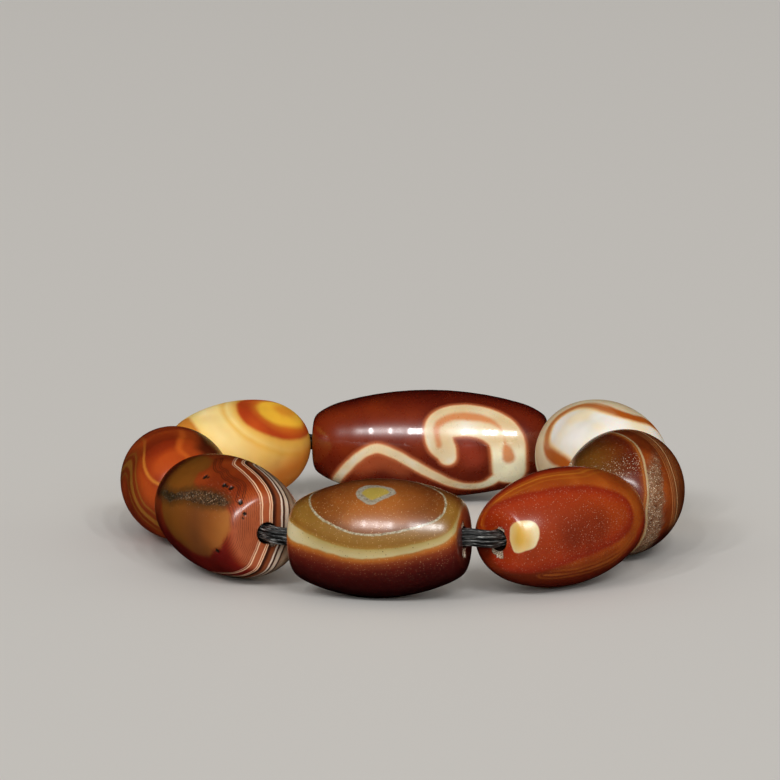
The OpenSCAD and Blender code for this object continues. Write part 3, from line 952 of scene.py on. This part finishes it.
def front_left_bead(bead, shader):
    along, _, up = bead.local.T
    stripes = stripe_depth(bead)
    fields = {"slit": bead.loop_distance(SLIT), "ochre": bead.loop_distance(OCHRE_EDGE), "depth": stripes,
              "wavy": bead.path_distance(WAVY), "ripe": (bead.s + 7) / 18,
              "ripe_end": ramp01(bead.s, 10.5, 13),
              "high": np.maximum(ramp01(np.abs(bead.phi), 112, 84), ramp01(bead.s, 10.5, 12.5))}
    clearest = np.maximum(ramp01(along, 6, 8.5), ramp01(up, -2.5, -4))
    apart = ramp01(fields["ochre"], -0.5, 0.2)
    fields["fine"] = ramp01(stripes, 0.3, 1.0) * (0.35 + 0.65 * clearest) * apart
    pits, sunk = np.ones(len(bead.s)), np.zeros(len(bead.s))
    for s, phi, radius, deep in PITS:
        away = bead.path_distance([(s - 0.05, phi, radius), (s + 0.05, phi + 1, radius)])
        pits = np.minimum(pits, away)
        sunk = np.maximum(sunk, deep * ramp01(away, 0.05, -0.2))
    fields["pits"] = pits
    opened = ramp01(fields["slit"], 0.05, -0.5)
    bead.sink(sunk + opened * (SLIT_DEPTH + SLIT_ROUGH * grit(bead, 0.28, 0.6, 0.8, 41)))
    depth = shader.warp("depth", 0.14, 1.0, 2.0)
    slit = shader.warp("slit", 0.9, 1.4, 4.0)
    ochre = shader.warp("ochre", 1.0, 0.9, 5.0)
    pit = shader.warp("pits", 0.35, 2.5)
    wavy = shader.warp("wavy", 0.3, 0.9)
    drift = shader.noise(0.16, 2.0)
    lengthways = shader.node("SeparateXYZ", {"Vector": shader.place}).outputs["X"]
    low = shader.tones(drift, 0.12, (0.15, 0.002, 0.001), (0.24, 0.005, 0.001))
    red = shader.tones(drift, 0.12, (0.25, 0.028, 0.001), (0.3, 0.038, 0.002), (0.36, 0.055, 0.004))
    red = shader.over(red, "ripe_end", (0.42, 0.095, 0.03))
    colour = shader.over(low, "high", red)
    tan = shader.ramp("ripe", [
        (0.0, (0.07, 0.008, 0.001)), (0.15, (0.27, 0.085, 0.004)), (0.5, (0.23, 0.068, 0.005)),
        (0.68, (0.2, 0.057, 0.01)), (0.85, (0.3, 0.085, 0.011)), (1.0, (0.4, 0.13, 0.018))])
    tan = shader.shade(tan, shader.step(drift, -0.6, 0.58))
    colour = shader.over(colour, shader.step(ochre, 0.3, -0.6), tan)
    # Fine dark lines and wavy ones, then the bands of the inner side, then the cream stripes
    lines = shader.warp(depth, 0.3, 1.8)
    wave = shader.math("SINE", shader.both(lines, 2 * math.pi / STRIATION))
    shown = shader.both("fine", shader.step(shader.noise(0.9), 0.3, 0.5))
    fine = shader.both(shader.step(wave, 0.2, 1.0), shown)
    colour = shader.over(colour, fine, (0.1, 0.01, 0.001), 0.6)
    for centre in (0.0, 0.26, 0.5):
        mark = shader.line(wavy, centre, 0.055, 0.08)
        colour = shader.over(colour, mark, (0.05, 0.006, 0.001), 0.85)
    bands = shader.ramp(depth, INNER_BANDS, -7.2, -0.7)
    colour = shader.over(colour, shader.step(depth, -0.68, -0.76), bands)
    striped = shader.step(lengthways, -3.5, 0.5)
    for centre, half, tone in STRIPES:
        mark = shader.both(shader.line(depth, centre, half, 0.09), striped)
        colour = shader.over(colour, mark, (0.9, 0.58, 0.36), tone)
    _, kind, tilt, _ = shader.cells(6.5)
    # The crystals by cell: dark grey, brown and olive, with painted glints in the brightest cells
    grey = shader.ramp(kind, [
        (0.0, (0.025, 0.012, 0.004)), (0.5, (0.07, 0.032, 0.012)), (0.85, (0.13, 0.06, 0.024)),
        (0.95, (0.24, 0.13, 0.06)), (1.0, (0.5, 0.36, 0.24))])
    moss = shader.ramp(kind, [
        (0.0, (0.015, 0.008, 0.002)), (0.9, (0.06, 0.03, 0.006)), (1.0, (0.2, 0.12, 0.05))])
    crystal = shader.over(moss, shader.step(lengthways, -1.6, 0.8), grey)
    rough_mask = shader.step(slit, 0.15, -0.25)
    colour = shader.layers(colour, [
        (shader.step(slit, 1.1, 0.1), (0.08, 0.032, 0.005), 0.65),
        (rough_mask, crystal),
        (shader.step(pit, 0.05, -0.12), PIT_BLACK)])
    colour = dust(shader, colour, shader.step(slit, 3.0, 0.0), 0.3)
    facets = shader.bump(shader.both(tilt, rough_mask), 0.1)
    # No polish lies on the open crystals or in the pits
    clear = shader.both(shader.step(slit, -0.25, 0.15), shader.step(pit, -0.12, 0.05))
    material = polish(shader, colour, 0.34, coat=clear, coat_rough=0.24, gloss=0.6, normal=facets)
    chips = [(1, -140, 30, 0.6, 1.0)]
    return fields, material, chips


# Cord

def cord_line(beads):
    """The cord's middle line in mm: straight through each bore, and a smooth run across each gap."""
    spots = []
    for here, there in zip(beads, beads[1:] + beads[:1]):
        half = here.axis * here.curve[-1, 0]
        start = here.middle + half + here.up * CORD_RISE_OUT
        end = there.middle - there.axis * there.curve[-1, 0] + there.up * CORD_RISE_IN
        pull = GAP_PULL * np.linalg.norm(end - start)
        near, far = start + here.axis * pull, end - there.axis * pull
        for share in BORE_SPOTS:
            rise = CORD_RISE_IN + (CORD_RISE_OUT - CORD_RISE_IN) * (share + 1) / 2
            spots.append(here.middle + half * share + here.up * rise)
        for t in np.linspace(0, 1, GAP_STEPS):
            spots.append((1 - t)**3 * start + 3 * (1 - t)**2 * t * near + 3 * (1 - t) * t * t * far
                         + t**3 * end)
    return np.array(spots)


def strand(line, turn, reach, thick, rng):
    """Points of one closed strand that winds slowly round the middle line at a distance, and their fibres."""
    ahead = np.roll(line, -1, 0) - np.roll(line, 1, 0)
    ahead /= np.linalg.norm(ahead, axis=1)[:, None]
    side = np.cross(ahead, (0, 0, 1))
    side /= np.linalg.norm(side, axis=1)[:, None]
    up = np.cross(side, ahead)
    length = walked(line)
    way = 2 * np.pi * length / length[-1]
    waves = sum(rng.uniform(*STRAND_SWAY) * np.sin(k * way + rng.uniform(0, 6.28)) for k in STRAND_WAVES)
    angle = (turn + waves + CORD_TWIST * np.sin(way))[:, None]
    middle = line + reach * (np.cos(angle) * side + np.sin(angle) * up)
    around = 2 * np.pi * np.arange(STRAND_SIDES) / STRAND_SIDES
    out, over = thick / 2 * np.cos(around), thick / 2 * np.sin(around)
    points = middle[:, None] + out[:, None] * side[:, None] + over[:, None] * up[:, None]
    # Fibres run along the strand: its own length counts little in their noise, and no two strands match
    fibres = np.broadcast_arrays(length[:, None] * FIBRE_STRETCH, turn * FIBRE_SPREAD + out,
                                 reach * FIBRE_SPREAD + over)
    return points.reshape(-1, 3), np.stack(fibres, -1).reshape(-1, 3)


def elastic_cord(beads):
    """The bundle: an outer ring of strands of mixed thickness, and thick ones inside it."""
    line = cord_line(beads)
    rng = np.random.default_rng(CORD_SEED)
    strands = []
    for k in range(OUTER_STRANDS):
        thick = rng.uniform(*STRAND_D)
        turn = 2 * np.pi * (k + rng.uniform(-STRAND_SHIFT, STRAND_SHIFT)) / OUTER_STRANDS
        strands.append(strand(line, turn, (CORD_D - thick) / 2, thick, rng))
    for k in range(INNER_STRANDS):
        strands.append(strand(line, 2 * np.pi * k / INNER_STRANDS, INNER_REACH, STRAND_D[1], rng))
    points, fibres = (np.concatenate(part) for part in zip(*strands))
    faces = ring_faces(len(line), STRAND_SIDES)
    faces = np.concatenate([faces + k * len(line) * STRAND_SIDES for k in range(len(strands))])
    return smooth_object("elastic_strands", points, faces, fibres, {}, elastic_material())


def elastic_material():
    shader = Shader("elastic")
    fibre = shader.noise(7.0, 3.0, 0.6)
    # Black fibres with pale grey streaks: painted sheen along the strands
    colour = shader.ramp(fibre, [(0.44, (0.004, 0.004, 0.004)), (0.54, (0.018, 0.018, 0.017)),
                                 (0.6, (0.1, 0.1, 0.095)), (0.68, (0.42, 0.42, 0.4))])
    roughness = shader.math("ADD", 0.25, shader.both(fibre, 0.2))
    return shader.finish(colour, roughness, shader.bump(fibre, 0.12), glow=0.0, gloss=0.6)


# Table, lights and camera

FLOOR_SIZE = 12.0
CAMERA_SPOT = (-0.00105, -0.5095, 0.0916)
CAMERA_PITCH = 7.97
CAMERA_LENS = 184.6
# Six tall soft boxes, far enough off to light the whole table alike: compass angle from the camera's side and
# share of the power. Then their rise above the table in degrees, and distance, width and height in metres
LAMPS = ((-36.5, 1.0), (-26.7, 0.7), (-16.7, 1.0), (5, 1.1), (15.5, 1.1), (25.3, 0.9))
LAMP_RISE = 34
LAMP_FAR = 60
LAMP_WIDE = 2.4
LAMP_TALL = 14.0
LAMP_POWER = 4000
# The long bead's bore is turned this far from square to the camera
BACK_TURN = 5.5
# A wide fill from the front, lower down, and an even sky; neither shows in the polish
FILL_RISE = 18
FILL_WIDE = 50.0
FILL_TALL = 8.0
FILL_POWER = 9000
SKY_COLOUR = (1, 0.97, 0.92, 1)
SKY_STRENGTH = 0.42


def floor():
    mesh = bpy.data.meshes.new("floor")
    h = FLOOR_SIZE / 2
    mesh.from_pydata([(-h, -h, 0), (h, -h, 0), (h, h, 0), (-h, h, 0)], [], [(0, 1, 2, 3)])
    table = add_object("floor", mesh)
    material = bpy.data.materials.new("floor_paint")
    material.use_nodes = True
    paint = material.node_tree.nodes["Principled BSDF"]
    paint.inputs["Base Color"].default_value = (0.7, 0.68, 0.65, 1)
    paint.inputs["Roughness"].default_value = 0.6
    mesh.materials.append(material)
    # The polish keeps deep, clear colours, as on dark glass: the pale floor doesn't show in it
    table.visible_glossy = False


def lamp(compass, rise, power, wide, tall, lean=0.0):
    """A soft oval lamp aimed at the table's middle, from a compass angle and a rise in degrees."""
    light = bpy.data.lights.new("lamp", "AREA")
    light.energy = power
    light.shape = "ELLIPSE"
    light.size = wide
    light.size_y = tall
    item = add_object("lamp", light)
    turn, lift = math.radians(compass), math.radians(rise)
    flat = LAMP_FAR * math.cos(lift)
    item.location = (flat * math.sin(turn), -flat * math.cos(turn), LAMP_FAR * math.sin(lift))
    aim = Euler((math.pi / 2 - lift, 0, turn)).to_matrix() @ Matrix.Rotation(lean, 3, "Z")
    item.rotation_euler = aim.to_euler()
    return item


def lights():
    for compass, share in LAMPS:
        # The boxes at the sides lean, so that their long sides run straight round the long bead in its polish
        lean = -math.atan(math.sin(math.radians(LAMP_RISE)) * math.tan(math.radians(compass + BACK_TURN)))
        lamp(compass, LAMP_RISE, LAMP_POWER * share, LAMP_WIDE, LAMP_TALL, lean)
    lamp(0, FILL_RISE, FILL_POWER, FILL_WIDE, FILL_TALL).visible_glossy = False
    world = bpy.data.worlds.new("studio")
    world.use_nodes = True
    world.node_tree.nodes["Background"].inputs["Color"].default_value = SKY_COLOUR
    world.node_tree.nodes["Background"].inputs["Strength"].default_value = SKY_STRENGTH
    bpy.context.scene.world = world
    world.cycles_visibility.glossy = False


def camera():
    eye = bpy.data.cameras.new("camera")
    eye.lens = CAMERA_LENS
    eye.sensor_width = 36
    eye.clip_start = 0.01
    item = add_object("camera", eye)
    item.location = CAMERA_SPOT
    item.rotation_euler = (math.radians(90 - CAMERA_PITCH), 0, 0)
    bpy.context.scene.camera = item


# The beads in their order along the cord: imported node, pattern, slot, and a seed for its wear
PATTERNS = [
    ("front_bead", front_bead, "brown_eye_agate", 11),
    ("front_right_bead", front_right_bead, "orange_red_agate", 12),
    ("right_bead", right_bead, "olive_brown_agate", 13),
    ("back_right_bead", back_right_bead, "white_agate", 14),
    ("long_back_bead", long_back_bead, "etched_dark_agate", 15),
    ("back_left_bead", back_left_bead, "honey_agate", 16),
    ("left_bead", left_bead, "banded_red_agate", 17),
    ("front_left_bead", front_left_bead, "striped_brown_agate", 18),
]


def main():
    camera()
    lights()
    floor()
    beads = []
    for node, pattern, slot, seed in PATTERNS:
        bead = Bead(node)
        fields, material, chips = pattern(bead, Shader(slot))
        fields["chip"] = chipped_mouths(bead, chips, seed)
        fields["bore"] = bead.in_bore.astype(float)
        wear = 0.5 + 0.5 * value_noise(bead.local, WEAR_CELL, seed)
        bead.sink(WEAR_DEPTH * wear + CHIP_DEPTH * ramp01(fields["chip"], 0.1, 0.9))
        faces = ring_faces(bead.rings, AROUND)
        piece = smooth_object(node + "_stone", bead.points, faces, bead.local, fields, material)
        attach(piece, BODY)
        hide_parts(node)
        beads.append(bead)
    cord = elastic_cord(beads)
    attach(cord, BODY)
    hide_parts("thread")
    bpy.context.scene.view_settings.view_transform = "Standard"


main()
